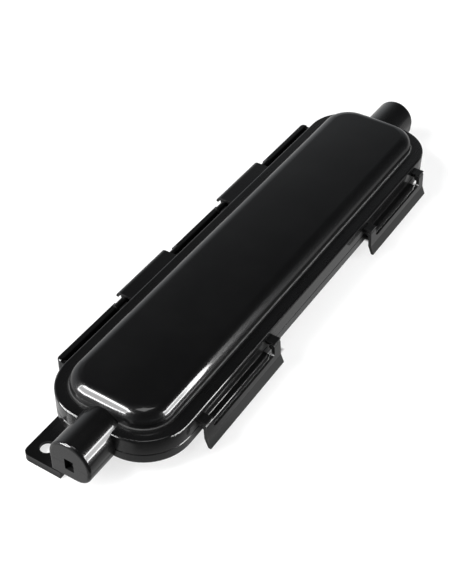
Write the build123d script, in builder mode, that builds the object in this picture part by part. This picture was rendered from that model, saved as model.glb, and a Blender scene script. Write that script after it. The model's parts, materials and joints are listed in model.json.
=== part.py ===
from build123d import *
import os

# Outdoor fibre splice box: a shallow tub, a domed cover hinged on a side rail, two window latches,
# rubber seals, and a splice tray inside.
# Millimetres. X runs along the box, +Y is the hinge side, -Y the latch side, Z is up.
# The origin is on the flat mounting face, under the middle of the box.

os.makedirs("parts", exist_ok=True)

# Outline of the flange that both halves share
FLANGE_LENGTH = 245.0
FLANGE_WIDTH = 60.0
FLANGE_END_FLAT = 9.0
RIM_HEIGHT = 4.2
SKIRT_HEIGHT = 7.6
LIP_RADIUS = 0.9
SEAM_CHAMFER = 0.25
PARTING_GAP = 0.15

# Tub under the rim
WALL = 2.0
TUB_DROP = 7.2
TUB_END_INSET = 7.5
TUB_SIDE_INSET = 6.0
TUB_END_FLAT = 9.5
TUB_FOOT_RADIUS = 1.6

# Domed cover
DOME_END_INSET = 6.3
DOME_SIDE_INSET = 6.6
DOME_END_FLAT = 9.6
DOME_RISE = 7.6
DOME_CROWN = 0.7
DOME_FILLET = 6.0
FOOT_STEP_WIDTH = 0.9
FOOT_STEP_HEIGHT = 0.4

# Cable ports, half in the tub and half in the cover
PORT_REACH = 15.65
PORT_RADIUS = 9.75
PORT_RISE = 1.7
PORT_DEPTH = 8.0
PORT_SIDE_FLAT = 1.0
PORT_EDGE = 1.3
PORT_END_WALL = 2.5
CABLE_HOLE_WIDTH = 4.3
CABLE_HOLE_BELOW = 3.0
CABLE_HOLE_ABOVE = 3.0

# Mounting ears
EAR_PLATE = 3.6
EAR_WEB = 1.4
EAR_WALL = 1.6
EAR_INNER = 5.3
EAR_CORNER = 3.0
EAR_HOLE = 5.9
EAR_HOLE_FROM_TIP = 7.25
EAR_HOLE_FROM_SIDE = 6.65

# Seal cord and port seals
CORD_DIAMETER = 2.0
CORD_INSET = 3.8
CORD_PROUD = 0.35
CORD_SIDE_FIT = 0.1
PRESS_RIB = 1.6
PRESS_RIB_GAP = 0.15
SEAL_FIT = 0.05
SEAL_TOP_FIT = 0.4
SEAL_HOLE_WIDTH = 3.0
SEAL_HOLE_HEIGHT = 4.6
SEAL_SLIT = 0.4
SEAL_GROOVE = 1.6
SEAL_GROOVE_DEPTH = 0.6

# Hinge: a rod carried by a rail on the tub, and two hooked tabs on the cover
ROD_RADIUS = 1.4
ROD_FROM_WALL = 3.9
ROD_BELOW_TOP = 3.0
ROD_CLEARANCE = 0.08
RAIL_END_INSET = 21.5
RAIL_WIDTH = 2.9
RAIL_ROD_LAP = 0.4
RAIL_BELOW_TOP = 2.0
RAIL_CORNER = 0.8
RAIL_PLAN_CORNER = 2.0
RAIL_WEB = 2.0
RAIL_END_WALL = 2.0
RAIL_WALL_GAP = 0.3
TAB_CENTRE = 39.75
TAB_WIDTH = 34.0
TAB_WINDOW = 43.5
TAB_BELOW_TOP = 0.4
TAB_ROD_GAP = 0.1
TAB_ROOT = 1.1
TAB_REACH = 8.1
TAB_ROUND = 2.4
TAB_DROP = 2.7
CLAW_THICKNESS = 2.4
CLAW_WALL = 1.1
CLAW_RIB = 0.6
CLAW_LAP = 0.2
CLAW_INSET = 1.0
CLAW_COUNT = 4
CLAW_MOUTH = 2.2

# Latches: a plate with a window, on pinned knuckles under the cover's lip
LATCH_END_INSET = 25.1
LATCH_WIDTH = 56.0
LATCH_ARM = 4.7
LATCH_BELOW_TOP = 2.0
LATCH_TIP_BELOW_SEAM = 7.6
LATCH_TIP_REACH = 7.2
LATCH_TIP_ROUND = 0.35
LATCH_FACE_REACH = 4.85
LATCH_WAIST_REACH = 5.35
LATCH_WAIST_BELOW_SEAM = 3.3
LATCH_PLATE = 1.55
WINDOW_BELOW_SEAM = 0.45
WINDOW_CHAMFER = 1.4
WINDOW_CORNER = 2.0
KNUCKLE_RADIUS = 1.4
TONGUE_WIDTH = 2.0
TONGUE_RADIUS = 0.95
TONGUE_DEPTH = 0.75
TONGUE_LAP = 0.5
TONGUE_GAP = 0.1
TONGUE_SWING_GAP = 0.15
BRACKET_PLATE = 0.6
BRACKET_GAP = 0.2
BRACKET_SHORT = 0.15
WEB_GAP = 0.15
PIN_RADIUS = 0.5
PIN_RUNNING_FIT = 0.06
PIN_TIGHT_FIT = 0.02
PIN_RECESS = 0.1
LEDGE_NOSE_FIT = 0.55
LEDGE_THICKNESS = 1.25
LEDGE_ROUND = 1.0
LEDGE_END_FIT = 0.7
LEDGE_RIB_REACH = 2.0
LEDGE_RIB_HEIGHT = 1.2

# Splice tray and what it carries
TRAY_SIDE_FIT = 1.5
TRAY_END_FLAT = 4.5
TRAY_LIFT = 2.0
TRAY_FLOOR = 1.2
TRAY_WALL = 1.2
TRAY_BELOW_SEAM = 0.2
TRAY_GATE = 12.0
FINGER_LENGTH = 5.0
FINGER_REACH = 3.0
FINGER_THICKNESS = 1.0
FINGER_END_GAP = 1.5
FINGER_COUNT = 5
SPOOL_RADIUS = 12.0
SPOOL_FROM_SLEEVE = 10.0
SPOOL_FROM_END = 24.0
SPOOL_GAP = 12.0
SPOOL_HEIGHT = 4.6
TRAY_PAD_FROM_END = 10.0
TRAY_PAD_FROM_SIDE = 7.5
SLEEVE_COUNT = 4
SLEEVE_DIAMETER = 3.0
SLEEVE_LENGTH = 60.0
SLEEVE_PITCH = 4.4
SLEEVE_FIT = 0.05
SLEEVE_CHAMFER = 0.5
HOLDER_LENGTH = 46.0
HOLDER_FLOOR = 1.0
HOLDER_LIP = 0.7

# Cable clamps and screws
CLAMP_FROM_END = 10.0
CLAMP_SPREAD = 6.5
CLAMP_LENGTH = 8.0
CLAMP_MARGIN = 3.0
CLAMP_PLATE = 1.6
CLAMP_TOOTH = 0.6
CLAMP_GRIP = 5.0
BOSS_RADIUS = 2.6
BOSS_FLOOR = 1.0
SADDLE_FROM_END = 4.0
SADDLE_THICKNESS = 1.6
SADDLE_WIDTH = 15.0
SCREW_SHANK = 1.1
SCREW_FIT = 0.05
SCREW_HOLE_FIT = 0.2
SCREW_HEAD = 2.1
SCREW_HEAD_HEIGHT = 1.4
SCREW_LENGTH = 6.0
SCREW_SLOT = 0.7

# Levels and edges worked out from the sizes above
RIM_BOTTOM = TUB_DROP
PARTING = RIM_BOTTOM + RIM_HEIGHT
COVER_BOTTOM = PARTING + PARTING_GAP
FLANGE_TOP = PARTING + SKIRT_HEIGHT
FLANGE_UNDER = FLANGE_TOP - WALL
HALF_LENGTH = FLANGE_LENGTH / 2
HALF_WIDTH = FLANGE_WIDTH / 2
FLANGE_CORNER = HALF_WIDTH - FLANGE_END_FLAT
TUB_LENGTH = FLANGE_LENGTH - 2 * TUB_END_INSET
TUB_WIDTH = FLANGE_WIDTH - 2 * TUB_SIDE_INSET
TUB_CORNER = TUB_WIDTH / 2 - TUB_END_FLAT
TUB_INNER_END = TUB_LENGTH / 2 - WALL
DOME_LENGTH = FLANGE_LENGTH - 2 * DOME_END_INSET
DOME_WIDTH = FLANGE_WIDTH - 2 * DOME_SIDE_INSET
DOME_CORNER = DOME_WIDTH / 2 - DOME_END_FLAT
CORD_DEPTH = CORD_DIAMETER - CORD_PROUD
CORD_GROOVE = CORD_DIAMETER + 2 * CORD_SIDE_FIT
PRESS_LEVEL = PARTING + CORD_PROUD + PRESS_RIB_GAP
PORT_TIP = HALF_LENGTH + PORT_REACH
PORT_CENTRE = PARTING + PORT_RISE
PORT_BOTTOM = PARTING - PORT_DEPTH
PORT_CORNER = PORT_DEPTH - PORT_SIDE_FLAT
PORT_HALF = (PORT_RADIUS**2 - PORT_RISE**2) ** 0.5
POCKET_RADIUS = PORT_RADIUS - WALL
POCKET_HALF = (POCKET_RADIUS**2 - PORT_RISE**2) ** 0.5
POCKET_BOTTOM = PORT_BOTTOM + WALL
POCKET_CORNER = PORT_CORNER - WALL
POCKET_START = TUB_LENGTH / 2
POCKET_END = PORT_TIP - PORT_END_WALL
HOLE_BOTTOM = PARTING - CABLE_HOLE_BELOW
HOLE_TOP = PARTING + CABLE_HOLE_ABOVE
HOLE_LEVEL = (HOLE_BOTTOM + HOLE_TOP) / 2
EAR_ROOT = TUB_LENGTH / 2 - TUB_CORNER
EAR_SIDE = TUB_WIDTH / 2
EAR_HOLE_X = PORT_TIP - EAR_HOLE_FROM_TIP
EAR_HOLE_Y = EAR_SIDE - EAR_HOLE_FROM_SIDE
ROD_Y = HALF_WIDTH + ROD_FROM_WALL
ROD_Z = FLANGE_TOP - ROD_BELOW_TOP
RAIL_HALF = HALF_LENGTH - RAIL_END_INSET
RAIL_IN = ROD_Y - ROD_RADIUS + RAIL_ROD_LAP
RAIL_OUT = RAIL_IN + RAIL_WIDTH
TAB_TOP = FLANGE_TOP - TAB_BELOW_TOP
TAB_UNDER = ROD_Z + ROD_RADIUS + TAB_ROD_GAP
TAB_PLATE = TAB_TOP - TAB_UNDER
CLAW_RADIUS = ROD_RADIUS + CLAW_WALL
LATCH_CENTRE = HALF_LENGTH - LATCH_END_INSET - LATCH_WIDTH / 2
ARM_CENTRE = (LATCH_WIDTH - LATCH_ARM) / 2
WINDOW_HALF = LATCH_WIDTH / 2 - LATCH_ARM
WINDOW_BOTTOM = PARTING - WINDOW_BELOW_SEAM
PIN_Y = -HALF_WIDTH - LATCH_FACE_REACH + KNUCKLE_RADIUS
BRACKET_TOP = FLANGE_TOP - LATCH_BELOW_TOP
PIN_Z = BRACKET_TOP - BRACKET_PLATE - BRACKET_GAP - KNUCKLE_RADIUS
LEDGE_Y = -HALF_WIDTH - LATCH_FACE_REACH + LATCH_PLATE + LEDGE_NOSE_FIT
LEDGE_TOP = PARTING - SEAM_CHAMFER
SPOOL_X = SLEEVE_LENGTH / 2 + SPOOL_FROM_SLEEVE + SPOOL_RADIUS
TRAY_LENGTH = 2 * (SPOOL_X + SPOOL_FROM_END)
TRAY_WIDTH = TUB_WIDTH - 2 * WALL - 2 * TRAY_SIDE_FIT
TRAY_CORNER = TRAY_WIDTH / 2 - TRAY_END_FLAT
TRAY_BOTTOM = WALL + TRAY_LIFT
TRAY_TOP = TRAY_BOTTOM + TRAY_FLOOR
TRAY_RIM = PARTING - TRAY_BELOW_SEAM
FINGER_SPREAD = TRAY_LENGTH - 2 * TRAY_CORNER - FINGER_LENGTH - 2 * FINGER_END_GAP
FINGER_PITCH = FINGER_SPREAD / (FINGER_COUNT - 1)
TRAY_PAD_X = TRAY_LENGTH / 2 - TRAY_PAD_FROM_END
TRAY_PAD_Y = TRAY_WIDTH / 2 - TRAY_PAD_FROM_SIDE
SLEEVE_LEVEL = TRAY_TOP + HOLDER_FLOOR + SLEEVE_DIAMETER / 2 + SLEEVE_FIT
CLAMP_X = TUB_INNER_END - CLAMP_FROM_END
CLAMP_BOTTOM = HOLE_BOTTOM + CLAMP_GRIP
CLAMP_TOP = CLAMP_BOTTOM + CLAMP_PLATE
SADDLE_X = TUB_INNER_END - SADDLE_FROM_END
SIDES = (-1, 1)
ENDS = (("front", -1), ("rear", 1))


def slab(length, width, corner, bottom, top, mode=Mode.ADD):
    """Add or cut an upright prism on a rounded rectangle."""
    with BuildSketch(Plane.XY.offset(bottom)) as outline:
        RectangleRounded(length, width, corner)
    extrude(outline.sketch, amount=top - bottom, mode=mode)


def block(x0, x1, y0, y1, z0, z1, mode=Mode.ADD):
    """Add or cut a plain block between two corners."""
    with Locations(((x0 + x1) / 2, (y0 + y1) / 2, (z0 + z1) / 2)):
        Box(abs(x1 - x0), abs(y1 - y0), abs(z1 - z0), mode=mode)


def post(x, y, radius, bottom, top, mode=Mode.ADD):
    """Add or cut an upright round post."""
    with Locations((x, y, (bottom + top) / 2)):
        Cylinder(radius, top - bottom, mode=mode)


def dome_form(inset, fillet_radius):
    """The cover's dome, or its inside when inset by the wall."""
    length = DOME_LENGTH - 2 * inset
    half = DOME_WIDTH / 2 - inset
    top = FLANGE_TOP + DOME_RISE - inset
    reach = half + WALL
    low = top - DOME_CROWN * (reach / half) ** 2
    with BuildPart() as form:
        slab(length, 2 * half, DOME_CORNER - inset, FLANGE_TOP - inset, top)
        with BuildSketch(Plane.YZ.offset(-length)) as crown:
            with BuildLine():
                ThreePointArc((-reach, low), (0, top), (reach, low))
                Polyline((reach, low), (reach, 0), (-reach, 0), (-reach, low))
            make_face()
        extrude(crown.sketch, amount=2 * length, mode=Mode.INTERSECT)
        fillet(form.faces().sort_by(Axis.Z)[-1].edges(), fillet_radius)
    return form.part


def port_channel(half, depth, corner):
    """Section of a port below the parting plane, with both lower corners rounded."""
    with BuildSketch() as channel:
        with Locations((0, PARTING)):
            RectangleRounded(2 * half, 2 * depth, corner)
        with Locations((0, PARTING + depth)):
            Rectangle(2 * half, 2 * depth, mode=Mode.SUBTRACT)
    return channel.sketch


def port_arch(radius, level):
    """Section of a port above the given level, which is all of a circle but its lowest part."""
    with BuildSketch() as arch:
        with Locations((0, PORT_CENTRE)):
            Circle(radius)
        with Locations((0, level - radius)):
            Rectangle(2 * radius, 2 * radius, mode=Mode.SUBTRACT)
    return arch.sketch


def cord_band(width):
    """A band of the given width that follows the seal cord round the box."""
    outer = CORD_INSET - width / 2
    inner = CORD_INSET + width / 2
    with BuildSketch() as band:
        RectangleRounded(FLANGE_LENGTH - 2 * outer, FLANGE_WIDTH - 2 * outer, FLANGE_CORNER - outer)
        RectangleRounded(
            FLANGE_LENGTH - 2 * inner,
            FLANGE_WIDTH - 2 * inner,
            FLANGE_CORNER - inner,
            mode=Mode.SUBTRACT,
        )
    return band.sketch


def cable_slot(bottom, top):
    """Cut the cable's way through both ports, and through the walls behind them."""
    reach = PORT_TIP + PORT_EDGE
    for side in SIDES:
        block(
            side * (TUB_INNER_END - WALL / 2),
            side * reach,
            -CABLE_HOLE_WIDTH / 2,
            CABLE_HOLE_WIDTH / 2,
            bottom,
            top,
            mode=Mode.SUBTRACT,
        )


def hinge_rail():
    """The rail beside the tub, with rounded ends, the hinge rod, and a window for each tab."""
    bottom = PARTING - RAIL_WEB
    with BuildPart() as rail:
        block(-RAIL_HALF, RAIL_HALF, HALF_WIDTH - WALL, RAIL_OUT, bottom, PARTING)
        block(-RAIL_HALF, RAIL_HALF, RAIL_IN, RAIL_OUT, bottom, FLANGE_TOP - RAIL_BELOW_TOP)
        for side in SIDES:
            ends = rail.edges().filter_by(Axis.Z).sort_by_distance((side * RAIL_HALF, RAIL_OUT, PARTING))
            fillet(ends[0], RAIL_PLAN_CORNER)
        fillet(rail.faces().sort_by(Axis.Z)[-1].edges(), RAIL_CORNER)
        for side in SIDES:
            block(
                side * (RAIL_HALF - RAIL_END_WALL),
                side * RAIL_HALF,
                HALF_WIDTH + RAIL_WALL_GAP,
                RAIL_IN + RAIL_ROD_LAP,
                bottom,
                ROD_Z,
            )
            block(
                side * (TAB_CENTRE - TAB_WINDOW / 2),
                side * (TAB_CENTRE + TAB_WINDOW / 2),
                HALF_WIDTH,
                RAIL_OUT + WALL,
                PARTING,
                FLANGE_TOP,
                mode=Mode.SUBTRACT,
            )
            with Locations(Location((side * TAB_CENTRE, ROD_Y, ROD_Z), (0, 90, 0))):
                Cylinder(ROD_RADIUS, TAB_WINDOW + 2 * WALL)
    return rail.part


def slotted_screw(x, y, seat, length):
    """A pan-head screw standing with its head on the level called seat."""
    post(x, y, SCREW_SHANK, seat - length, seat)
    post(x, y, SCREW_HEAD, seat, seat + SCREW_HEAD_HEIGHT)
    block(
        x - SCREW_SLOT / 2,
        x + SCREW_SLOT / 2,
        y - SCREW_HEAD,
        y + SCREW_HEAD,
        seat + SCREW_HEAD_HEIGHT / 2,
        seat + SCREW_HEAD_HEIGHT,
        mode=Mode.SUBTRACT,
    )


def finish(builder, name):
    """Label a finished piece and write it to its own file."""
    builder.part.label = name
    export_step(builder.part, f"parts/{name}.step")


# Tub with its rim, ports, ears, hinge rail and latch ledges
with BuildPart() as base:
    slab(TUB_LENGTH, TUB_WIDTH, TUB_CORNER, 0, PARTING)
    fillet(base.faces().sort_by(Axis.Z)[0].edges(), TUB_FOOT_RADIUS)
    slab(FLANGE_LENGTH, FLANGE_WIDTH, FLANGE_CORNER, RIM_BOTTOM, PARTING)
    chamfer(base.faces().sort_by(Axis.Z)[-1].edges(), SEAM_CHAMFER)

    # Lower halves of both ports, as one bar through the box, hollowed with the tub.
    # The side over the ears runs straight down to them.
    with BuildSketch(Plane.YZ.offset(-PORT_TIP)) as port_half:
        add(port_channel(PORT_HALF, PORT_DEPTH, PORT_CORNER))
        with Locations((PORT_HALF / 2, PARTING - PORT_DEPTH / 2)):
            Rectangle(PORT_HALF, PORT_DEPTH)
    extrude(port_half.sketch, amount=2 * PORT_TIP)
    for face in (base.faces().sort_by(Axis.X)[0], base.faces().sort_by(Axis.X)[-1]):
        fillet(face.edges().filter_by(lambda e: e.center().Z < PARTING - SEAM_CHAMFER), PORT_EDGE)

    # Ears, flush with the mounting face, hollowed below round each screw hole
    for side in SIDES:
        with BuildSketch(Plane.XY) as ear:
            with Locations((side * (PORT_TIP + EAR_ROOT) / 2, (EAR_INNER + EAR_SIDE) / 2)):
                Rectangle(PORT_TIP - EAR_ROOT, EAR_SIDE - EAR_INNER)
            fillet(ear.vertices().sort_by_distance((side * PORT_TIP, EAR_SIDE))[0], EAR_CORNER)
        extrude(ear.sketch, amount=EAR_PLATE)
        recess = EAR_HOLE_FROM_SIDE - EAR_WALL
        post(side * EAR_HOLE_X, EAR_HOLE_Y, recess, 0, EAR_PLATE - EAR_WEB, Mode.SUBTRACT)
        post(side * EAR_HOLE_X, EAR_HOLE_Y, EAR_HOLE / 2, 0, EAR_PLATE, Mode.SUBTRACT)

    # Cavity, port pockets and cable slots
    slab(
        TUB_LENGTH - 2 * WALL,
        TUB_WIDTH - 2 * WALL,
        TUB_CORNER - WALL,
        WALL,
        PARTING,
        mode=Mode.SUBTRACT,
    )
    for side in SIDES:
        with BuildSketch(Plane.YZ.offset(side * POCKET_START)) as pocket:
            add(port_channel(POCKET_HALF, PORT_DEPTH - WALL, POCKET_CORNER))
        extrude(pocket.sketch, amount=side * (POCKET_END - POCKET_START), mode=Mode.SUBTRACT)
    cable_slot(HOLE_BOTTOM, COVER_BOTTOM)

    # Groove for the seal cord
    with BuildSketch(Plane.XY.offset(PARTING)) as groove:
        add(cord_band(CORD_GROOVE))
    extrude(groove.sketch, amount=-CORD_DEPTH, mode=Mode.SUBTRACT)

    add(hinge_rail())

    # Latch ledges: a shelf with a rounded nose behind each latch window, and a rib below it
    for side in SIDES:
        half = WINDOW_HALF - LEDGE_END_FIT
        ledge_bottom = LEDGE_TOP - LEDGE_THICKNESS
        with BuildSketch(Plane.YZ.offset(side * LATCH_CENTRE - half)) as ledge:
            with Locations((LEDGE_Y, ledge_bottom)):
                Rectangle(
                    -HALF_WIDTH + WALL - LEDGE_Y,
                    LEDGE_THICKNESS,
                    align=(Align.MIN, Align.MIN),
                )
            fillet(ledge.vertices().sort_by_distance((LEDGE_Y, LEDGE_TOP))[0], LEDGE_ROUND)
        extrude(ledge.sketch, amount=2 * half)
        block(
            side * LATCH_CENTRE - WINDOW_HALF,
            side * LATCH_CENTRE + WINDOW_HALF,
            -HALF_WIDTH + WALL / 2,
            -HALF_WIDTH - LEDGE_RIB_REACH,
            RIM_BOTTOM,
            RIM_BOTTOM + LEDGE_RIB_HEIGHT,
        )

    # Bosses, pads and saddles on the floor
    for side in SIDES:
        for hand in SIDES:
            post(side * CLAMP_X, hand * CLAMP_SPREAD, BOSS_RADIUS, WALL / 2, CLAMP_BOTTOM)
            post(
                side * CLAMP_X,
                hand * CLAMP_SPREAD,
                SCREW_SHANK + SCREW_FIT,
                WALL + BOSS_FLOOR,
                CLAMP_BOTTOM,
                Mode.SUBTRACT,
            )
            post(side * TRAY_PAD_X, hand * TRAY_PAD_Y, BOSS_RADIUS, WALL / 2, TRAY_BOTTOM)
        post(side * SPOOL_X, 0, BOSS_RADIUS, WALL / 2, TRAY_BOTTOM)
        post(side * SPOOL_X, 0, SCREW_SHANK + SCREW_FIT, WALL / 2, TRAY_BOTTOM, Mode.SUBTRACT)
        block(
            side * (SADDLE_X - SADDLE_THICKNESS / 2),
            side * (SADDLE_X + SADDLE_THICKNESS / 2),
            -SADDLE_WIDTH / 2,
            SADDLE_WIDTH / 2,
            WALL / 2,
            HOLE_BOTTOM,
        )
finish(base, "base")

# Cover: flange with its skirt, dome, upper port halves, hinge tabs and latch brackets
with BuildPart() as cover:
    slab(FLANGE_LENGTH, FLANGE_WIDTH, FLANGE_CORNER, COVER_BOTTOM, FLANGE_TOP)
    fillet(cover.faces().sort_by(Axis.Z)[-1].edges(), LIP_RADIUS)
    chamfer(cover.faces().sort_by(Axis.Z)[0].edges(), SEAM_CHAMFER)
    slab(
        DOME_LENGTH + 2 * FOOT_STEP_WIDTH,
        DOME_WIDTH + 2 * FOOT_STEP_WIDTH,
        DOME_CORNER + FOOT_STEP_WIDTH,
        FLANGE_UNDER,
        FLANGE_TOP + FOOT_STEP_HEIGHT,
    )
    add(dome_form(0, DOME_FILLET))

    # Hollow flange and dome
    slab(
        FLANGE_LENGTH - 2 * WALL,
        FLANGE_WIDTH - 2 * WALL,
        FLANGE_CORNER - WALL,
        COVER_BOTTOM,
        FLANGE_UNDER,
        mode=Mode.SUBTRACT,
    )
    add(dome_form(WALL, DOME_FILLET - WALL), mode=Mode.SUBTRACT)

    # Rib that presses the seal cord
    with BuildSketch(Plane.XY.offset(PRESS_LEVEL)) as press_rib:
        add(cord_band(PRESS_RIB))
    extrude(press_rib.sketch, until=Until.NEXT)

    # Upper halves of the ports, with a pocket for the port seal
    for side in SIDES:
        with BuildSketch(Plane.YZ.offset(side * TUB_INNER_END)) as port_top:
            add(port_arch(PORT_RADIUS, COVER_BOTTOM))
        extrude(port_top.sketch, amount=side * (PORT_TIP - TUB_INNER_END))
        end_face = cover.faces().sort_by(Axis.X)[0 if side < 0 else -1]
        fillet(end_face.edges().filter_by(GeomType.CIRCLE), PORT_EDGE)
        with BuildSketch(Plane.YZ.offset(side * POCKET_START)) as pocket_top:
            add(port_arch(POCKET_RADIUS, PARTING))
        extrude(pocket_top.sketch, amount=side * (POCKET_END - POCKET_START), mode=Mode.SUBTRACT)
    cable_slot(PARTING, HOLE_TOP)

    # Relief over the seal cord, where the port walls cross it
    with BuildSketch(Plane.XY.offset(PARTING)) as cord_relief:
        add(cord_band(CORD_GROOVE))
    extrude(cord_relief.sketch, amount=PRESS_LEVEL - PARTING, mode=Mode.SUBTRACT)

    # Hinge tabs: a curled plate with claws that clip round the rod
    for side in SIDES:
        tab_start = side * TAB_CENTRE - TAB_WIDTH / 2
        root_y = HALF_WIDTH - LIP_RADIUS - TAB_ROOT
        curl_y = HALF_WIDTH + TAB_REACH - TAB_ROUND
        curl_z = TAB_TOP - TAB_ROUND
        inner_round = TAB_ROUND - TAB_PLATE
        lip_z = TAB_TOP - TAB_DROP
        with BuildSketch(Plane.YZ.offset(tab_start)) as tab:
            with BuildLine():
                Polyline(
                    (curl_y, TAB_UNDER),
                    (root_y, TAB_UNDER),
                    (root_y, TAB_TOP),
                    (curl_y, TAB_TOP),
                )
                CenterArc((curl_y, curl_z), TAB_ROUND, 90, -90)
                Polyline(
                    (curl_y + TAB_ROUND, curl_z),
                    (curl_y + TAB_ROUND, lip_z),
                    (curl_y + inner_round, lip_z),
                    (curl_y + inner_round, curl_z),
                )
                CenterArc((curl_y, curl_z), inner_round, 0, 90)
            make_face()
        extrude(tab.sketch, amount=TAB_WIDTH)
        claw_step = (TAB_WIDTH - CLAW_THICKNESS - 2 * CLAW_INSET) / (CLAW_COUNT - 1)
        for number in range(CLAW_COUNT):
            mouth = Location((ROD_Y - CLAW_RADIUS / 2, ROD_Z - CLAW_RADIUS / 2), 45)
            with BuildSketch(Plane.YZ.offset(tab_start + CLAW_INSET + number * claw_step)) as claw:
                with Locations((ROD_Y, ROD_Z)):
                    Circle(CLAW_RADIUS)
                with Locations((root_y, ROD_Z - CLAW_RIB)):
                    Rectangle(
                        ROD_Y - root_y,
                        TAB_UNDER + CLAW_LAP - ROD_Z + CLAW_RIB,
                        align=(Align.MIN, Align.MIN),
                    )
                with Locations((ROD_Y, ROD_Z + CLAW_LAP)):
                    Rectangle(
                        curl_y + inner_round + CLAW_LAP - ROD_Y,
                        TAB_UNDER - ROD_Z,
                        align=(Align.MIN, Align.MIN),
                    )
                with Locations((ROD_Y, ROD_Z)):
                    Circle(ROD_RADIUS + ROD_CLEARANCE, mode=Mode.SUBTRACT)
                with Locations(mouth):
                    Rectangle(2 * (ROD_RADIUS + CLAW_WALL), CLAW_MOUTH, mode=Mode.SUBTRACT)
            extrude(claw.sketch, amount=CLAW_THICKNESS)

    # Latch brackets: a plate over each arm's knuckle, with a tongue below it that holds the pin
    plate_end = -HALF_WIDTH - LATCH_FACE_REACH + BRACKET_SHORT
    web_end = PIN_Y + KNUCKLE_RADIUS + WEB_GAP
    for side in SIDES:
        for arm in SIDES:
            x = side * LATCH_CENTRE + arm * ARM_CENTRE
            x_low = x - TONGUE_WIDTH / 2
            x_high = x + TONGUE_WIDTH / 2
            root = -HALF_WIDTH + WALL / 2
            block(
                x - LATCH_ARM / 2,
                x + LATCH_ARM / 2,
                root,
                plate_end,
                BRACKET_TOP - BRACKET_PLATE,
                BRACKET_TOP,
            )
            block(x_low, x_high, root, web_end, PIN_Z - TONGUE_DEPTH, BRACKET_TOP)
            block(x_low, x_high, web_end, PIN_Y, PIN_Z - TONGUE_DEPTH, PIN_Z + TONGUE_RADIUS)
            with Locations(Location((x, PIN_Y, PIN_Z), (0, 90, 0))):
                Cylinder(TONGUE_RADIUS, TONGUE_WIDTH)
                Cylinder(PIN_RADIUS + PIN_TIGHT_FIT, TONGUE_WIDTH, mode=Mode.SUBTRACT)
finish(cover, "cover")

# Latches, alike at both ends
for end, side in ENDS:
    middle = side * LATCH_CENTRE
    arms = [middle + arm * ARM_CENTRE for arm in SIDES]
    with BuildPart() as latch:
        face_y = -HALF_WIDTH - LATCH_FACE_REACH
        waist_y = -HALF_WIDTH - LATCH_WAIST_REACH
        tip_y = -HALF_WIDTH - LATCH_TIP_REACH
        waist_z = PARTING - LATCH_WAIST_BELOW_SEAM
        tip_z = PARTING - LATCH_TIP_BELOW_SEAM
        with BuildSketch(Plane.YZ.offset(middle - LATCH_WIDTH / 2)) as profile:
            with BuildLine():
                Polyline(
                    (face_y, PIN_Z),
                    (waist_y, waist_z),
                    (tip_y, tip_z),
                    (tip_y + LATCH_PLATE, tip_z),
                    (waist_y + LATCH_PLATE, waist_z),
                    (face_y + LATCH_PLATE, PIN_Z),
                    close=True,
                )
            make_face()
            fillet(profile.vertices().group_by(Axis.Y)[0], LATCH_TIP_ROUND)
        extrude(profile.sketch, amount=LATCH_WIDTH)
        with Locations(Location((middle, PIN_Y, PIN_Z), (0, 90, 0))):
            Cylinder(KNUCKLE_RADIUS, LATCH_WIDTH)

        # Window, open at the top between the arms, with its lower edge cut back on the inside
        with BuildSketch(Plane.XZ.offset(HALF_WIDTH)) as window:
            with Locations((middle, WINDOW_BOTTOM)):
                Rectangle(
                    2 * WINDOW_HALF,
                    FLANGE_TOP - WINDOW_BOTTOM,
                    align=(Align.CENTER, Align.MIN),
                )
            fillet(window.vertices().group_by(Axis.Y)[0], WINDOW_CORNER)
        extrude(window.sketch, amount=2 * LATCH_TIP_REACH, mode=Mode.SUBTRACT)
        inner_y = face_y + LATCH_PLATE
        with BuildSketch(Plane.YZ.offset(middle - WINDOW_HALF + WINDOW_CORNER)) as bevel:
            with BuildLine():
                Polyline(
                    (inner_y + WALL, WINDOW_BOTTOM),
                    (inner_y - WINDOW_CHAMFER, WINDOW_BOTTOM),
                    (inner_y, WINDOW_BOTTOM - WINDOW_CHAMFER),
                    (inner_y + WALL, WINDOW_BOTTOM - WINDOW_CHAMFER),
                    close=True,
                )
            make_face()
        extrude(bevel.sketch, amount=2 * (WINDOW_HALF - WINDOW_CORNER), mode=Mode.SUBTRACT)

        # Slots that the bracket tongues stand in, closed at the face, and the pin bores
        swing = TONGUE_RADIUS + TONGUE_SWING_GAP
        for x in arms:
            x_low = x - TONGUE_WIDTH / 2 - TONGUE_GAP
            x_high = x + TONGUE_WIDTH / 2 + TONGUE_GAP
            block(x_low, x_high, PIN_Y - swing, -HALF_WIDTH, PIN_Z, BRACKET_TOP, Mode.SUBTRACT)
            block(x_low, x_high, PIN_Y, -HALF_WIDTH, PIN_Z - swing, PIN_Z, Mode.SUBTRACT)
            with Locations(Location((x, PIN_Y, PIN_Z), (0, 90, 0))):
                Cylinder(swing, x_high - x_low, mode=Mode.SUBTRACT)
                Cylinder(PIN_RADIUS + PIN_RUNNING_FIT, LATCH_ARM, mode=Mode.SUBTRACT)
    finish(latch, f"latch_{end}")

    with BuildPart() as pins:
        for x in arms:
            with Locations(Location((x, PIN_Y, PIN_Z), (0, 90, 0))):
                Cylinder(PIN_RADIUS, LATCH_ARM - 2 * PIN_RECESS)
    finish(pins, f"latch_pins_{end}")

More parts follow.
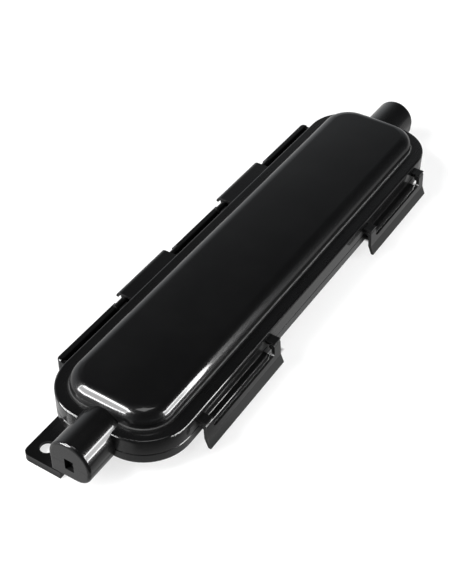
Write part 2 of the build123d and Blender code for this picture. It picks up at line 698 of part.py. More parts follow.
# Seal cord: one strand on each side, between the two port seals
for name, side in (("seal_cord_hinge_side", 1), ("seal_cord_latch_side", -1)):
    with BuildPart() as cord:
        cord_x = HALF_LENGTH - CORD_INSET
        cord_y = HALF_WIDTH - CORD_INSET
        cord_z = PARTING - CORD_DEPTH + CORD_DIAMETER / 2
        cord_end = POCKET_HALF + CORD_SIDE_FIT
        with BuildLine() as route:
            FilletPolyline(
                (-cord_x, side * cord_end, cord_z),
                (-cord_x, side * cord_y, cord_z),
                (cord_x, side * cord_y, cord_z),
                (cord_x, side * cord_end, cord_z),
                radius=FLANGE_CORNER - CORD_INSET,
            )
        with BuildSketch(Plane(route.line @ 0, z_dir=route.line % 0)) as cord_section:
            Circle(CORD_DIAMETER / 2)
        sweep(cord_section.sketch, path=route.line)
    finish(cord, name)

# Port seals: a rubber plug in each port, slit from the top so that a cable can be laid in
for end, side in ENDS:
    with BuildPart() as port_seal:
        seal_radius = POCKET_RADIUS - SEAL_TOP_FIT
        seal_half = (seal_radius**2 - PORT_RISE**2) ** 0.5
        seal_start = side * (POCKET_START + SEAL_FIT)
        seal_length = POCKET_END - POCKET_START - 2 * SEAL_FIT
        with BuildSketch(Plane.YZ.offset(seal_start)) as plug:
            add(port_channel(seal_half, PORT_DEPTH - WALL, POCKET_CORNER))
            add(port_arch(seal_radius, PARTING))
            with Locations((0, HOLE_LEVEL)):
                SlotOverall(SEAL_HOLE_HEIGHT, SEAL_HOLE_WIDTH, rotation=90, mode=Mode.SUBTRACT)
            with Locations((0, HOLE_LEVEL)):
                Rectangle(
                    SEAL_SLIT,
                    2 * POCKET_RADIUS,
                    align=(Align.CENTER, Align.MIN),
                    mode=Mode.SUBTRACT,
                )
        extrude(plug.sketch, amount=side * seal_length)
        with BuildSketch(Plane.YZ.offset(seal_start + side * (seal_length - SEAL_GROOVE) / 2)) as waist:
            add(port_arch(POCKET_RADIUS, COVER_BOTTOM))
            with Locations((0, PORT_CENTRE)):
                Circle(seal_radius - SEAL_GROOVE_DEPTH, mode=Mode.SUBTRACT)
        extrude(waist.sketch, amount=side * SEAL_GROOVE, mode=Mode.SUBTRACT)
    finish(port_seal, f"port_seal_{end}")

# Splice tray: a shallow pan with gates for the fibres, retaining fingers and two bend guides
with BuildPart() as tray:
    slab(TRAY_LENGTH, TRAY_WIDTH, TRAY_CORNER, TRAY_BOTTOM, TRAY_RIM)
    slab(
        TRAY_LENGTH - 2 * TRAY_WALL,
        TRAY_WIDTH - 2 * TRAY_WALL,
        TRAY_CORNER - TRAY_WALL,
        TRAY_TOP,
        TRAY_RIM,
        mode=Mode.SUBTRACT,
    )
    block(
        -TRAY_LENGTH,
        TRAY_LENGTH,
        -TRAY_GATE / 2,
        TRAY_GATE / 2,
        TRAY_TOP,
        TRAY_RIM,
        mode=Mode.SUBTRACT,
    )
    with Locations((0, 0, TRAY_RIM - FINGER_THICKNESS / 2)):
        with GridLocations(FINGER_PITCH, TRAY_WIDTH - FINGER_REACH, FINGER_COUNT, 2):
            Box(FINGER_LENGTH, FINGER_REACH, FINGER_THICKNESS)
    for side in SIDES:
        with BuildSketch(Plane.XY.offset(TRAY_TOP)) as spool:
            with Locations((side * SPOOL_X, 0)):
                Circle(SPOOL_RADIUS)
                Circle(SPOOL_RADIUS - TRAY_WALL, mode=Mode.SUBTRACT)
            with Locations((side * (SPOOL_X - SPOOL_RADIUS), 0)):
                Rectangle(2 * SPOOL_RADIUS, SPOOL_GAP, mode=Mode.SUBTRACT)
            with Locations((side * (SPOOL_X + SPOOL_RADIUS), 0)):
                Rectangle(SPOOL_RADIUS, SPOOL_GAP / 2, mode=Mode.SUBTRACT)
        extrude(spool.sketch, amount=SPOOL_HEIGHT)
        post(side * SPOOL_X, 0, SCREW_SHANK + SCREW_HOLE_FIT, TRAY_BOTTOM, TRAY_TOP, Mode.SUBTRACT)
finish(tray, "splice_tray")

# Sleeve holder: a comb of round channels, open at the top
holder_width = SLEEVE_COUNT * SLEEVE_PITCH + HOLDER_LIP
with BuildPart() as holder:
    block(
        -HOLDER_LENGTH / 2,
        HOLDER_LENGTH / 2,
        -holder_width / 2,
        holder_width / 2,
        TRAY_TOP,
        SLEEVE_LEVEL + HOLDER_LIP,
    )
    for number in range(SLEEVE_COUNT):
        y = (number - (SLEEVE_COUNT - 1) / 2) * SLEEVE_PITCH
        with Locations(Location((0, y, SLEEVE_LEVEL), (0, 90, 0))):
            Cylinder(SLEEVE_DIAMETER / 2 + SLEEVE_FIT, HOLDER_LENGTH, mode=Mode.SUBTRACT)
finish(holder, "sleeve_holder")

# Splice protection sleeves, each with chamfered ends
for number in range(SLEEVE_COUNT):
    y = (number - (SLEEVE_COUNT - 1) / 2) * SLEEVE_PITCH
    with BuildPart() as sleeve:
        with Locations(Location((0, y, SLEEVE_LEVEL), (0, 90, 0))):
            Cylinder(SLEEVE_DIAMETER / 2, SLEEVE_LENGTH)
        chamfer(sleeve.edges().filter_by(GeomType.CIRCLE), SLEEVE_CHAMFER)
    finish(sleeve, f"splice_sleeve_{number + 1}")

# Cable clamps: a toothed plate across two bosses inside each port, with its two screws
for end, side in ENDS:
    clamp_width = 2 * (CLAMP_SPREAD + CLAMP_MARGIN)
    with BuildPart() as clamp:
        with BuildSketch(Plane.XY.offset(CLAMP_BOTTOM)) as plate:
            with Locations((side * CLAMP_X, 0)):
                RectangleRounded(CLAMP_LENGTH, clamp_width, BOSS_RADIUS)
                with GridLocations(0, 2 * CLAMP_SPREAD, 1, 2):
                    Circle(SCREW_SHANK + SCREW_HOLE_FIT, mode=Mode.SUBTRACT)
        extrude(plate.sketch, amount=CLAMP_PLATE)
        tooth_half = CLAMP_SPREAD - BOSS_RADIUS - SCREW_HOLE_FIT
        for step in (-1, 0, 1):
            x = side * CLAMP_X + step * CLAMP_LENGTH / 4
            block(
                x - CLAMP_TOOTH / 2,
                x + CLAMP_TOOTH / 2,
                -tooth_half,
                tooth_half,
                CLAMP_BOTTOM - CLAMP_TOOTH,
                CLAMP_BOTTOM,
            )
    finish(clamp, f"cable_clamp_{end}")

    with BuildPart() as clamp_screws:
        for hand in SIDES:
            slotted_screw(side * CLAMP_X, hand * CLAMP_SPREAD, CLAMP_TOP, SCREW_LENGTH)
    finish(clamp_screws, f"clamp_screws_{end}")

with BuildPart() as tray_screws:
    for side in SIDES:
        slotted_screw(side * SPOOL_X, 0, TRAY_TOP, TRAY_TOP - WALL)
finish(tray_screws, "tray_screws")
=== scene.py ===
import json
import math

import bpy
from mathutils import Matrix, Vector

# Metres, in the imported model's own frame: X along the box, -Y the latch side, Z up

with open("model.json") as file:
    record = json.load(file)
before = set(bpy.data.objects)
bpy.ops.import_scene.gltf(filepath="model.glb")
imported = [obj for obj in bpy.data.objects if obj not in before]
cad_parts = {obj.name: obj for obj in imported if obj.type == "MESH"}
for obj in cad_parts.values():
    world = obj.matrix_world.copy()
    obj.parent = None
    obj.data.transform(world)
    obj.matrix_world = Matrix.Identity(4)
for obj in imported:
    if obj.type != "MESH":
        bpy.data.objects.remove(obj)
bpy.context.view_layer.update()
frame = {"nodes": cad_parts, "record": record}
MM = 0.001

# Camera, as the photograph sees the box
CAMERA_AZIMUTH = -58.0
CAMERA_ELEVATION = 42.29
CAMERA_ROLL = 0.7
CAMERA_DISTANCE = 479.1 * MM
CAMERA_AIM = Vector((-31.45, -1.18, 19.0)) * MM
FOCAL_PIXELS = 1117.1
LONG_SIDE_PIXELS = 582
SENSOR = 36.0
CLIP_START = 10.0 * MM

# Studio: the floor and the sky
FLOOR_SIZE = 6.0
FLOOR_COLOUR = (0.30, 0.30, 0.30)
FLOOR_SHADE = 0.985
FLOOR_MOTTLE = 30.0
FLOOR_ROUGHNESS = 0.9
FLOOR_SHINE = 0.1
FLOOR_GLOW = 0.72
SKY_COLOUR = (0.62, 0.64, 0.66)
SKY_DARKEST = 0.03

# Ranges for smooth_step: from, to, and where needed the value at each end.
# Sky: by the height and the Y of a direction
SKY_BY_HEIGHT = (0.78, 0.2)
SKY_BY_SIDE = (-0.35, 0.6, 0.09, 0.8)
HORIZON_BY_HEIGHT = (0.24, 0.04)
HORIZON_BY_SIDE = (-0.74, -0.80, 0.2, 0.45)

# Floor in reflections: dimmer off the front corner on the latch side, and beyond the front port
FADE_BY_DISTANCE = (7.0 * MM, 16.0 * MM, 0.0, 0.85)
FADE_BY_X = (-60.0 * MM, -90.0 * MM)
FADE_BY_Y = (-14.0 * MM, -24.0 * MM)
FADE_PAST_PORT = (-112.0 * MM, -124.0 * MM)
FADE_ENDS = (32.0 * MM, 20.0 * MM)
MIRROR_BY_Y = (-14.0 * MM, -2.0 * MM, 0.42, 0.6)

# Painted shadow on the floor: its glow is cut inside the body's outline and under the latches
BODY_CORE = (101.5 * MM, 9.0 * MM)
BODY_CORNER = 21.0 * MM
UNDER_BODY = (-14.0 * MM, -8.0 * MM)
LATCH_X = 69.4 * MM
LATCH_HALF = 26.0 * MM
LATCH_SOFTNESS = 2.0 * MM
LATCH_SHADOW_SHIFT = 11.0 * MM
BEFORE_LATCH = (-30.0 * MM, -32.0 * MM)
BEHIND_LATCH = (0.0, 1.0 * MM)

# Lights: places and aims, then a rim as shares of the width and the height
DOME_FRONT = Vector((-0.114, 0.0, 0.025))
DOME_SIDE = Vector((-0.088, -0.022, 0.024))
FRONT_BOX_PLACE = DOME_FRONT + 0.8 * Vector((-0.613, 0.566, 0.559))
FRONT_BOX_SIZE = (0.46, 0.72)
FRONT_BOX_POWER = 40.0
FRONT_BOX_WIDTH_ALONG = (-0.62, -0.78, 0.07)
FRONT_BOX_RIM = (0.06, 0.26)
FRONT_BOX_MIDDLE = 0.22
SIDE_PANEL_PLACE = Vector((0.074, -0.474, 0.14))
SIDE_PANEL_SIZE = (0.312, 0.26)
SIDE_PANEL_POWER = 7.0
SIDE_PANEL_RIM = (0.12, 0.25)
SIDE_PANEL_MIDDLE = 0.35
OVERHEAD_PLACE = (-0.05, 0.0, 1.2)
OVERHEAD_AIM = (-0.05, 0.0, 0.0)
OVERHEAD_SIZE = (0.5, 0.4)
OVERHEAD_POWER = 2.0
RIM_FULL = 0.6
FAR_END_FADE = 0.12

# Shared effects
RAY_SAMPLES = 6
EDGE_CONTRAST = 7.0
STREAK_STRETCH = (6.0, 90.0, 90.0)
STREAK_SCALE = 3.0
DUST_THRESHOLD = 0.42
DUST_CONTRAST = 2.6
DUST_ANY_WAY = 0.3
DUST_UPWARD = 0.7
DUST_DULLNESS = 0.6
# Roughness added in gaps by the occlusion mask, as painted shade
GAP_SHADE_ROUGHNESS = 0.25

# Moulded plastic: flow waves and haze
WAVE_SCALE = 60.0
WAVE_DEPTH = 0.03 * MM
WAVE_STRENGTH = 0.5
HAZE = 0.02
PLASTIC_IOR = 1.5

# Steel: turning marks and stains
TURNING_SCALE = 700.0
TURNING_GRAIN = 0.8
TURNING_DEPTH = 0.01 * MM
STEEL_RUB = 0.6
STAIN_SHADE = 0.6
STAIN_DULLNESS = 0.2

# Painted highlight line at the dome's foot, in place of the gleam of a small fillet that the CAD lacks: the
# foot's outline, and how far the line reaches from it
FOOT_CORE = (102.4 * MM, 9.6 * MM)
FOOT_CORNER = 13.8 * MM
FOOT_REACH = (0.8 * MM, 0.24 * MM)
FOOT_BY_X = (-112.0 * MM, -88.0 * MM, 0.3, 1.0)
FLANGE_TOP = 19.0 * MM
# Colour of the painted highlight line at the foot
PAINTED_FOOT_GLEAM = (0.24, 0.24, 0.24)

# Colours
SHELL_BLACK = (0.0022, 0.0022, 0.0023)
SHELL_RUBBED = (0.05, 0.05, 0.05)
LATCH_BLACK = (0.005, 0.005, 0.0051)
CLAMP_BLACK = (0.018, 0.018, 0.019)
RUBBER_BLACK = (0.024, 0.024, 0.025)
BLACK_RUBBED = (0.06, 0.06, 0.06)
DUST_GREY = (0.09, 0.09, 0.088)
TRAY_GREY = (0.34, 0.345, 0.335)
TRAY_RUBBED = (0.4, 0.4, 0.39)
SLEEVE_BLUE = (0.16, 0.19, 0.22)
SLEEVE_RUBBED = (0.4, 0.43, 0.45)
SCREW_ZINC = (0.62, 0.63, 0.65)
PIN_STEEL = (0.10, 0.10, 0.10)


def group_tree(name, inputs, outputs):
    """A new shader group with named sockets. Sockets are (name, type, default)."""
    tree = bpy.data.node_groups.new(name, "ShaderNodeTree")
    for label, kind, default in inputs:
        socket = tree.interface.new_socket(label, in_out="INPUT", socket_type=kind)
        if default is not None:
            socket.default_value = default
    for label, kind in outputs:
        tree.interface.new_socket(label, in_out="OUTPUT", socket_type=kind)
    return tree, tree.nodes.new("NodeGroupInput"), tree.nodes.new("NodeGroupOutput")


def math_node(tree, operation, first, second=None, clamp=False):
    """A Math node fed by sockets or plain numbers, with the result held to 0..1 if clamped."""
    node = tree.nodes.new("ShaderNodeMath")
    node.operation = operation
    node.use_clamp = clamp
    for socket, value in zip(node.inputs, (first, second)):
        if value is None:
            continue
        if isinstance(value, (int, float)):
            socket.default_value = value
        else:
            tree.links.new(value, socket)
    return node.outputs[0]


def noise_node(tree, vector, scale, detail=2.0, roughness=0.5):
    """A Noise texture on a vector socket, with its scale from a socket or a number."""
    node = tree.nodes.new("ShaderNodeTexNoise")
    node.inputs["Detail"].default_value = detail
    node.inputs["Roughness"].default_value = roughness
    tree.links.new(vector, node.inputs["Vector"])
    if isinstance(scale, (int, float)):
        node.inputs["Scale"].default_value = scale
    else:
        tree.links.new(scale, node.inputs["Scale"])
    return node.outputs["Fac"]


def smooth_step(tree, value, low, high, start=0.0, end=1.0):
    """A smooth change from start to end while a value goes from low to high, or down to high."""
    node = tree.nodes.new("ShaderNodeMapRange")
    node.interpolation_type = "SMOOTHSTEP"
    tree.links.new(value, node.inputs["Value"])
    limits = {"From Min": low, "From Max": high, "To Min": start, "To Max": end}
    for label, limit in limits.items():
        if isinstance(limit, (int, float)):
            node.inputs[label].default_value = limit
        else:
            tree.links.new(limit, node.inputs[label])
    return node.outputs["Result"]


def split_vector(tree, vector):
    """The X, Y and Z of a vector socket, by name."""
    split = tree.nodes.new("ShaderNodeSeparateXYZ")
    tree.links.new(vector, split.inputs["Vector"])
    return split.outputs


def object_place(tree):
    """The Object coordinates of a material, whole and split into X, Y and Z."""
    place = tree.nodes.new("ShaderNodeTexCoord").outputs["Object"]
    return place, split_vector(tree, place)


def beyond(tree, value, reach):
    """How far a coordinate lies outside a half width, and zero inside it."""
    past = math_node(tree, "SUBTRACT", math_node(tree, "ABSOLUTE", value), reach)
    return math_node(tree, "MAXIMUM", past, 0.0)


def make_edge_wear():
    """Mask of rubbed edges: where the surface turns sharply within the given radius."""
    tree, inp, out = group_tree(
        "edge rub",
        [
            ("Radius", "NodeSocketFloat", 0.0005),
            ("Breakup", "NodeSocketFloat", 900.0),
            ("Strength", "NodeSocketFloat", 1.0),
        ],
        [("Mask", "NodeSocketFloat")],
    )
    geometry = tree.nodes.new("ShaderNodeNewGeometry")
    bevel = tree.nodes.new("ShaderNodeBevel")
    bevel.samples = RAY_SAMPLES
    tree.links.new(inp.outputs["Radius"], bevel.inputs["Radius"])
    dot = tree.nodes.new("ShaderNodeVectorMath")
    dot.operation = "DOT_PRODUCT"
    tree.links.new(geometry.outputs["Normal"], dot.inputs[0])
    tree.links.new(bevel.outputs["Normal"], dot.inputs[1])
    turned = math_node(tree, "SUBTRACT", 1.0, dot.outputs["Value"])
    sharp = math_node(tree, "MULTIPLY", turned, EDGE_CONTRAST, clamp=True)
    coordinates = tree.nodes.new("ShaderNodeTexCoord")
    speckle = noise_node(tree, coordinates.outputs["Object"], inp.outputs["Breakup"], detail=3.0)
    broken = math_node(tree, "MULTIPLY", sharp, speckle)
    strong = math_node(tree, "MULTIPLY", broken, inp.outputs["Strength"], clamp=True)
    tree.links.new(strong, out.inputs["Mask"])
    return tree


def make_moulded_skin():
    """Height of a moulded surface, faint flow waves over a finer grain, and streaks along the box."""
    tree, inp, out = group_tree(
        "moulded skin",
        [
            ("Wave Scale", "NodeSocketFloat", 60.0),
            ("Grain Scale", "NodeSocketFloat", 2500.0),
            ("Grain", "NodeSocketFloat", 0.3),
        ],
        [("Height", "NodeSocketFloat"), ("Streaks", "NodeSocketFloat")],
    )
    coordinates = tree.nodes.new("ShaderNodeTexCoord")
    place = coordinates.outputs["Object"]
    waves = noise_node(tree, place, inp.outputs["Wave Scale"])
    grain = noise_node(tree, place, inp.outputs["Grain Scale"])
    fine = math_node(tree, "MULTIPLY", grain, inp.outputs["Grain"])
    height = math_node(tree, "ADD", waves, fine)
    tree.links.new(height, out.inputs["Height"])
    stretch = tree.nodes.new("ShaderNodeMapping")
    stretch.inputs["Scale"].default_value = STREAK_STRETCH
    tree.links.new(place, stretch.inputs["Vector"])
    streaks = noise_node(tree, stretch.outputs["Vector"], STREAK_SCALE, detail=4.0, roughness=0.6)
    tree.links.new(streaks, out.inputs["Streaks"])
    return tree


def make_dust():
    """Mask of settled dust and finger haze, stronger on faces that look up."""
    tree, inp, out = group_tree(
        "settled dust",
        [("Scale", "NodeSocketFloat", 40.0), ("Amount", "NodeSocketFloat", 0.2)],
        [("Mask", "NodeSocketFloat")],
    )
    coordinates = tree.nodes.new("ShaderNodeTexCoord")
    place = coordinates.outputs["Object"]
    patches = noise_node(tree, place, inp.outputs["Scale"], detail=5.0, roughness=0.65)
    lifted = math_node(tree, "SUBTRACT", patches, DUST_THRESHOLD)
    spread = math_node(tree, "MULTIPLY", lifted, DUST_CONTRAST, clamp=True)
    normal = split_vector(tree, tree.nodes.new("ShaderNodeNewGeometry").outputs["Normal"])
    facing = math_node(tree, "MULTIPLY", normal["Z"], DUST_UPWARD, clamp=True)
    upward = math_node(tree, "ADD", facing, DUST_ANY_WAY)
    laid = math_node(tree, "MULTIPLY", spread, upward)
    amount = math_node(tree, "MULTIPLY", laid, inp.outputs["Amount"], clamp=True)
    tree.links.new(amount, out.inputs["Mask"])
    return tree


def make_crevice_shade():
    """Mask of open surface, which falls to zero in gaps and inner corners, where it thins and roughens the
    coat as painted shade.
    """
    tree, inp, out = group_tree(
        "crevice",
        [
            ("Reach", "NodeSocketFloat", 0.008),
            ("Closed", "NodeSocketFloat", 0.45),
            ("Open", "NodeSocketFloat", 0.92),
        ],
        [("Mask", "NodeSocketFloat")],
    )
    hidden = tree.nodes.new("ShaderNodeAmbientOcclusion")
    hidden.samples = RAY_SAMPLES
    tree.links.new(inp.outputs["Reach"], hidden.inputs["Distance"])
    unshaded = smooth_step(tree, hidden.outputs["AO"], inp.outputs["Closed"], inp.outputs["Open"])
    tree.links.new(unshaded, out.inputs["Mask"])
    return tree


EDGE_RUB = make_edge_wear()
MOULDED_SKIN = make_moulded_skin()
SETTLED_DUST = make_dust()
CREVICE_SHADE = make_crevice_shade()


def place_group(tree, group, **values):
    """Put a shared effect into a material, with its own values."""
    node = tree.nodes.new("ShaderNodeGroup")
    node.node_tree = group
    for label, value in values.items():
        node.inputs[label.replace("_", " ")].default_value = value
    return node


def mix_colour(tree, mask, base, worn):
    """Blend two colours by a mask socket."""
    node = tree.nodes.new("ShaderNodeMix")
    node.data_type = "RGBA"
    tree.links.new(mask, node.inputs[0])
    for socket, value in ((node.inputs[6], base), (node.inputs[7], worn)):
        if isinstance(value, tuple):
            socket.default_value = (*value, 1.0)
        else:
            tree.links.new(value, socket)
    return node.outputs[2]


def outline_distance(tree, place, core, corner):
    """How far a place lies outside a rounded outline about the box's middle, negative inside it.

    The core is half the length and half the width of the rectangle that the corner's radius is added to.
    """
    along = beyond(tree, place["X"], core[0])
    across = beyond(tree, place["Y"], core[1])
    squares = math_node(
        tree,
        "ADD",
        math_node(tree, "MULTIPLY", along, along),
        math_node(tree, "MULTIPLY", across, across),
    )
    return math_node(tree, "SUBTRACT", math_node(tree, "SQRT", squares), corner)


def painted_foot_gleam(tree, amount):
    """Mask of a painted highlight line in the corner between the dome's foot and the flange, in place of a
    fillet's gleam.
    """
    place = object_place(tree)[1]
    away = math_node(tree, "ABSOLUTE", outline_distance(tree, place, FOOT_CORE, FOOT_CORNER))
    beside = smooth_step(tree, away, *FOOT_REACH, 0.0, amount)
    thinner = smooth_step(tree, place["X"], *FOOT_BY_X)
    height = math_node(tree, "ABSOLUTE", math_node(tree, "SUBTRACT", place["Z"], FLANGE_TOP))
    level = smooth_step(tree, height, *FOOT_REACH)
    return math_node(tree, "MULTIPLY", math_node(tree, "MULTIPLY", beside, thinner), level)


def new_material(name):
    """An empty node material with its Principled shader."""
    material = bpy.data.materials.new(name)
    material.use_nodes = True
    return material, material.node_tree, material.node_tree.nodes["Principled BSDF"]


def raise_surface(tree, shader, height, depth, strength=1.0):
    """Bump a shader's normal by a height socket."""
    bump = tree.nodes.new("ShaderNodeBump")
    bump.inputs["Distance"].default_value = depth
    bump.inputs["Strength"].default_value = strength
    tree.links.new(height, bump.inputs["Height"])
    tree.links.new(bump.outputs["Normal"], shader.inputs["Normal"])


def moulded_plastic(
    name,
    colour,
    rubbed,
    gloss,
    grain=0.3,
    rub=0.5,
    dust=0.2,
    coat=0.0,
    coat_gloss=0.06,
    shine=0.5,
    foot=0.0,
):
    """Injection-moulded plastic with flow waves, rubbed edges and a little dust.

    In gaps and inner corners an occlusion mask thins and roughens the coat, which paints shade there. The
    foot is the strength of the painted highlight line at the dome's foot on the cover.
    """
    material, tree, shader = new_material(name)
    skin = place_group(tree, MOULDED_SKIN, Wave_Scale=WAVE_SCALE, Grain=grain)
    edges = place_group(tree, EDGE_RUB, Strength=rub)
    dirt = place_group(tree, SETTLED_DUST, Amount=dust)
    dust_and_foot_gleam = mix_colour(tree, dirt.outputs["Mask"], colour, DUST_GREY)
    # Painted highlight: a pale line at the dome's foot stands in for the gleam of a fillet that the CAD lacks
    if foot:
        dust_and_foot_gleam = mix_colour(tree, painted_foot_gleam(tree, foot), dust_and_foot_gleam, PAINTED_FOOT_GLEAM)
    worn = mix_colour(tree, edges.outputs["Mask"], dust_and_foot_gleam, rubbed)
    tree.links.new(worn, shader.inputs["Base Color"])
    hazy = math_node(tree, "MULTIPLY", skin.outputs["Streaks"], HAZE)
    dull = math_node(tree, "ADD", hazy, gloss)
    grimy = math_node(tree, "MULTIPLY", dirt.outputs["Mask"], DUST_DULLNESS)
    rough = math_node(tree, "ADD", dull, grimy, clamp=True)
    # Painted shade: an occlusion mask thins the coat and roughens the surface in gaps and inner corners
    if coat:
        unshaded = place_group(tree, CREVICE_SHADE).outputs["Mask"]
        tree.links.new(math_node(tree, "MULTIPLY", unshaded, coat), shader.inputs["Coat Weight"])
        shade_roughening = math_node(tree, "MULTIPLY", math_node(tree, "SUBTRACT", 1.0, unshaded), GAP_SHADE_ROUGHNESS)
        rough = math_node(tree, "ADD", rough, shade_roughening, clamp=True)
    tree.links.new(rough, shader.inputs["Roughness"])
    raise_surface(tree, shader, skin.outputs["Height"], WAVE_DEPTH, WAVE_STRENGTH)
    shader.inputs["IOR"].default_value = PLASTIC_IOR
    shader.inputs["Coat Roughness"].default_value = coat_gloss
    shader.inputs["Specular IOR Level"].default_value = shine
    return material


def plated_steel(name, colour, roughness):
    """Zinc-plated steel with fine turning marks."""
    material, tree, shader = new_material(name)
    shader.inputs["Metallic"].default_value = 1.0
    skin = place_group(tree, MOULDED_SKIN, Wave_Scale=TURNING_SCALE, Grain=TURNING_GRAIN)
    edges = place_group(tree, EDGE_RUB, Strength=STEEL_RUB)
    dull = tuple(channel * STAIN_SHADE for channel in colour)
    stained = mix_colour(tree, skin.outputs["Streaks"], colour, dull)
    tree.links.new(mix_colour(tree, edges.outputs["Mask"], stained, colour), shader.inputs["Base Color"])
    hazy = math_node(tree, "MULTIPLY", skin.outputs["Streaks"], STAIN_DULLNESS)
    tree.links.new(math_node(tree, "ADD", hazy, roughness), shader.inputs["Roughness"])
    raise_surface(tree, shader, skin.outputs["Height"], TURNING_DEPTH)
    return material


SHELL = moulded_plastic(
    "shell plastic",
    SHELL_BLACK,
    SHELL_RUBBED,
    gloss=0.24,
    dust=0.015,
    rub=0.35,
    coat=0.7,
    coat_gloss=0.05,
    shine=0.2,
    foot=0.9,
)
LATCH = moulded_plastic(
    "latch plastic",
    LATCH_BLACK,
    BLACK_RUBBED,
    gloss=0.3,
    dust=0.03,
    rub=0.5,
    coat=0.6,
    coat_gloss=0.12,
    shine=0.2,
)
CLAMP = moulded_plastic("clamp plastic", CLAMP_BLACK, BLACK_RUBBED, gloss=0.38, grain=0.8, dust=0.1)
RUBBER = moulded_plastic("seal rubber", RUBBER_BLACK, BLACK_RUBBED, gloss=0.6, grain=1.0, dust=0.3)
TRAY = moulded_plastic("tray plastic", TRAY_GREY, TRAY_RUBBED, gloss=0.34, grain=0.6, dust=0.06)
SLEEVE = moulded_plastic("sleeve plastic", SLEEVE_BLUE, SLEEVE_RUBBED, gloss=0.12, dust=0.04, coat=0.4)
ZINC = plated_steel("screw steel", SCREW_ZINC, 0.24)
STEEL = plated_steel("pin steel", PIN_STEEL, 0.2)

FINISHES = {
    "shell_plastic": SHELL,
    "latch_plastic": LATCH,
    "clamp_plastic": CLAMP,
    "seal_rubber": RUBBER,
    "tray_plastic": TRAY,
    "sleeve_plastic": SLEEVE,
    "screw_steel": ZINC,
    "pin_steel": STEEL,
}


def dress_nodes():
    """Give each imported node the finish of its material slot."""
    slots = {entry["node"]: entry["material_slot"] for entry in frame["record"]["subparts"]}
    for name, node in frame["nodes"].items():
        node.data.materials.clear()
        node.data.materials.append(FINISHES[slots[name]])


def reflected_floor(tree, place, away):
    """The floor's level in reflections: lower on the latch side, and lower still off the front corner."""
    fading = smooth_step(tree, away, *FADE_BY_DISTANCE)
    front = smooth_step(tree, place["X"], *FADE_BY_X)
    latch_side = smooth_step(tree, place["Y"], *FADE_BY_Y)
    past_port = smooth_step(tree, place["X"], *FADE_PAST_PORT)
    near = smooth_step(tree, away, *FADE_ENDS)
    reach = math_node(tree, "MAXIMUM", past_port, near)
    corner = math_node(tree, "MULTIPLY", math_node(tree, "MULTIPLY", front, latch_side), reach)
    lit = math_node(tree, "SUBTRACT", 1.0, math_node(tree, "MULTIPLY", fading, corner))
    return math_node(tree, "MULTIPLY", lit, smooth_step(tree, place["Y"], *MIRROR_BY_Y))


def floor_outside_painted_shadow(tree, place, away):
    """Mask of the floor outside its painted shadow: zero under the body and under the latches."""
    shifted = math_node(tree, "SUBTRACT", place["X"], LATCH_SHADOW_SHIFT)
    past_latch = math_node(tree, "SUBTRACT", math_node(tree, "ABSOLUTE", shifted), LATCH_X)
    off_middle = math_node(tree, "ABSOLUTE", past_latch)
    beside_latch = smooth_step(tree, off_middle, LATCH_HALF, LATCH_HALF + LATCH_SOFTNESS)
    before_latch = smooth_step(tree, place["Y"], *BEFORE_LATCH)
    behind_latch = smooth_step(tree, place["Y"], *BEHIND_LATCH)
    either = math_node(tree, "MAXIMUM", before_latch, behind_latch)
    clear_of_latch = math_node(tree, "MAXIMUM", beside_latch, either)
    clear_of_body = smooth_step(tree, away, *UNDER_BODY)
    return math_node(tree, "MULTIPLY", clear_of_latch, clear_of_body)


def floor_material():
    """Lit white table, which glows evenly to the eye outside a painted shadow under the box, and less in the
    box's reflections.
    """
    material, tree, shader = new_material("pale floor")
    spot, place = object_place(tree)
    mottle = noise_node(tree, spot, FLOOR_MOTTLE, detail=3.0)
    shade = tuple(channel * FLOOR_SHADE for channel in FLOOR_COLOUR)
    tree.links.new(mix_colour(tree, mottle, FLOOR_COLOUR, shade), shader.inputs["Base Color"])
    shader.inputs["Roughness"].default_value = FLOOR_ROUGHNESS
    shader.inputs["Specular IOR Level"].default_value = FLOOR_SHINE
    shader.inputs["Emission Color"].default_value = (1.0, 1.0, 1.0, 1.0)
    away = outline_distance(tree, place, BODY_CORE, BODY_CORNER)
    unshadowed_floor_mask = floor_outside_painted_shadow(tree, place, away)
    # Painted shadow: the floor's glow is cut under the body and the latches, to the eye and in reflections
    tree.links.new(math_node(tree, "MULTIPLY", unshadowed_floor_mask, FLOOR_GLOW), shader.inputs["Emission Strength"])
    mirrored = tree.nodes.new("ShaderNodeEmission")
    level = math_node(tree, "MULTIPLY", reflected_floor(tree, place, away), unshadowed_floor_mask)
    tree.links.new(level, mirrored.inputs["Strength"])
    path = tree.nodes.new("ShaderNodeLightPath")
    seen = tree.nodes.new("ShaderNodeMixShader")
    tree.links.new(path.outputs["Is Glossy Ray"], seen.inputs[0])
    tree.links.new(shader.outputs[0], seen.inputs[1])
    tree.links.new(mirrored.outputs[0], seen.inputs[2])
    tree.links.new(seen.outputs[0], tree.nodes["Material Output"].inputs["Surface"])
    return material


def make_floor():
    """The floor that the box lies on."""
    mesh = bpy.data.meshes.new("floor")
    half = FLOOR_SIZE / 2
    corners = [(-half, -half, 0), (half, -half, 0), (half, half, 0), (-half, half, 0)]
    mesh.from_pydata(corners, [], [(0, 1, 2, 3)])
    floor = bpy.data.objects.new("floor", mesh)
    bpy.context.collection.objects.link(floor)
    floor.data.materials.append(floor_material())


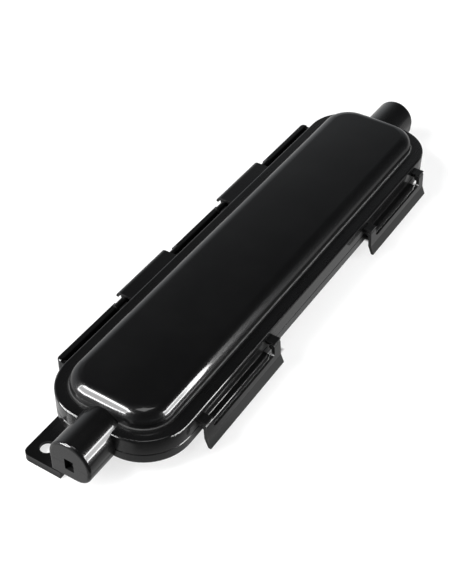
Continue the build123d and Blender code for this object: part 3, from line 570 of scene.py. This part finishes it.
def bright_rim(light, rim, middle, near_end):
    """Make a light brighter along its edges: rim is a share of the width and of the height.

    With near_end, one end of the width has no rim and fades out instead.
    """
    light.use_nodes = True
    tree = light.node_tree
    place = split_vector(tree, tree.nodes.new("ShaderNodeNewGeometry").outputs["Parametric"])
    level = None
    for axis, share in zip("XY", rim):
        centred = math_node(tree, "SUBTRACT", place[axis], 0.5)
        if not (near_end and axis == "X"):
            centred = math_node(tree, "ABSOLUTE", centred)
        edge = smooth_step(tree, centred, 0.5 - share, 0.5 - share * RIM_FULL, middle, 1.0)
        level = edge if level is None else math_node(tree, "MAXIMUM", level, edge)
    if near_end:
        fade = smooth_step(tree, place["X"], 0.0, FAR_END_FADE)
        level = math_node(tree, "MULTIPLY", level, fade)
    tree.links.new(level, tree.nodes["Emission"].inputs["Strength"])


def softbox(name, place, aim, size, power, width_along=(1.0, 0.0, 0.0), rim=None, middle=1.0, near_end=False):
    """A rectangular studio light at a place, aimed at a point, with its width along a direction."""
    light = bpy.data.lights.new(name, "AREA")
    light.shape = "RECTANGLE"
    light.size, light.size_y = size
    light.energy = power
    lamp = bpy.data.objects.new(name, light)
    back = (Vector(place) - Vector(aim)).normalized()
    height = back.cross(Vector(width_along)).normalized()
    turn = Matrix((height.cross(back), height, back)).transposed()
    lamp.matrix_world = Matrix.Translation(place) @ turn.to_4x4()
    bpy.context.collection.objects.link(lamp)
    if rim:
        bright_rim(light, rim, middle, near_end)


def make_lights():
    """A tall box at the front, a low panel at the latch side and a small light overhead."""
    softbox(
        "front box",
        FRONT_BOX_PLACE,
        DOME_FRONT,
        FRONT_BOX_SIZE,
        FRONT_BOX_POWER,
        FRONT_BOX_WIDTH_ALONG,
        rim=FRONT_BOX_RIM,
        middle=FRONT_BOX_MIDDLE,
    )
    softbox(
        "side panel",
        SIDE_PANEL_PLACE,
        DOME_SIDE,
        SIDE_PANEL_SIZE,
        SIDE_PANEL_POWER,
        rim=SIDE_PANEL_RIM,
        middle=SIDE_PANEL_MIDDLE,
        near_end=True,
    )
    softbox("overhead", OVERHEAD_PLACE, OVERHEAD_AIM, OVERHEAD_SIZE, OVERHEAD_POWER)


def make_sky():
    """A dim sky, brighter low down on the hinge side, with a band of light along the horizon."""
    world = bpy.data.worlds.new("studio")
    world.use_nodes = True
    tree = world.node_tree
    direction = split_vector(tree, tree.nodes.new("ShaderNodeTexCoord").outputs["Generated"])
    low = smooth_step(tree, direction["Z"], *SKY_BY_HEIGHT)
    lateral = smooth_step(tree, direction["Y"], *SKY_BY_SIDE)
    rising = smooth_step(tree, direction["Z"], *HORIZON_BY_HEIGHT)
    facing = smooth_step(tree, direction["Y"], *HORIZON_BY_SIDE)
    horizon = math_node(tree, "MULTIPLY", rising, facing)
    glow = math_node(tree, "MAXIMUM", math_node(tree, "MULTIPLY", low, lateral), horizon)
    background = tree.nodes["Background"]
    background.inputs["Color"].default_value = (*SKY_COLOUR, 1.0)
    tree.links.new(math_node(tree, "ADD", glow, SKY_DARKEST), background.inputs["Strength"])
    bpy.context.scene.world = world


def make_camera():
    """The photograph's camera: turned by azimuth and elevation round its aim, then rolled."""
    azimuth = math.radians(CAMERA_AZIMUTH)
    elevation = math.radians(CAMERA_ELEVATION)
    back = Vector((
        math.sin(azimuth) * math.cos(elevation),
        -math.cos(azimuth) * math.cos(elevation),
        math.sin(elevation),
    ))
    right = (-back).cross(Vector((0, 0, 1))).normalized()
    up = right.cross(-back)
    roll = math.radians(CAMERA_ROLL)
    rolled_right = math.cos(roll) * right + math.sin(roll) * up
    rolled_up = math.cos(roll) * up - math.sin(roll) * right
    turn = Matrix((rolled_right, rolled_up, back)).transposed()
    data = bpy.data.cameras.new("camera")
    data.sensor_width = SENSOR
    data.sensor_fit = "AUTO"
    data.lens = FOCAL_PIXELS * SENSOR / LONG_SIDE_PIXELS
    data.clip_start = CLIP_START
    camera = bpy.data.objects.new("camera", data)
    camera.matrix_world = Matrix.Translation(CAMERA_AIM + back * CAMERA_DISTANCE) @ turn.to_4x4()
    bpy.context.collection.objects.link(camera)
    bpy.context.scene.camera = camera


dress_nodes()
make_floor()
make_lights()
make_sky()
make_camera()
bpy.context.scene.view_settings.view_transform = "Standard"
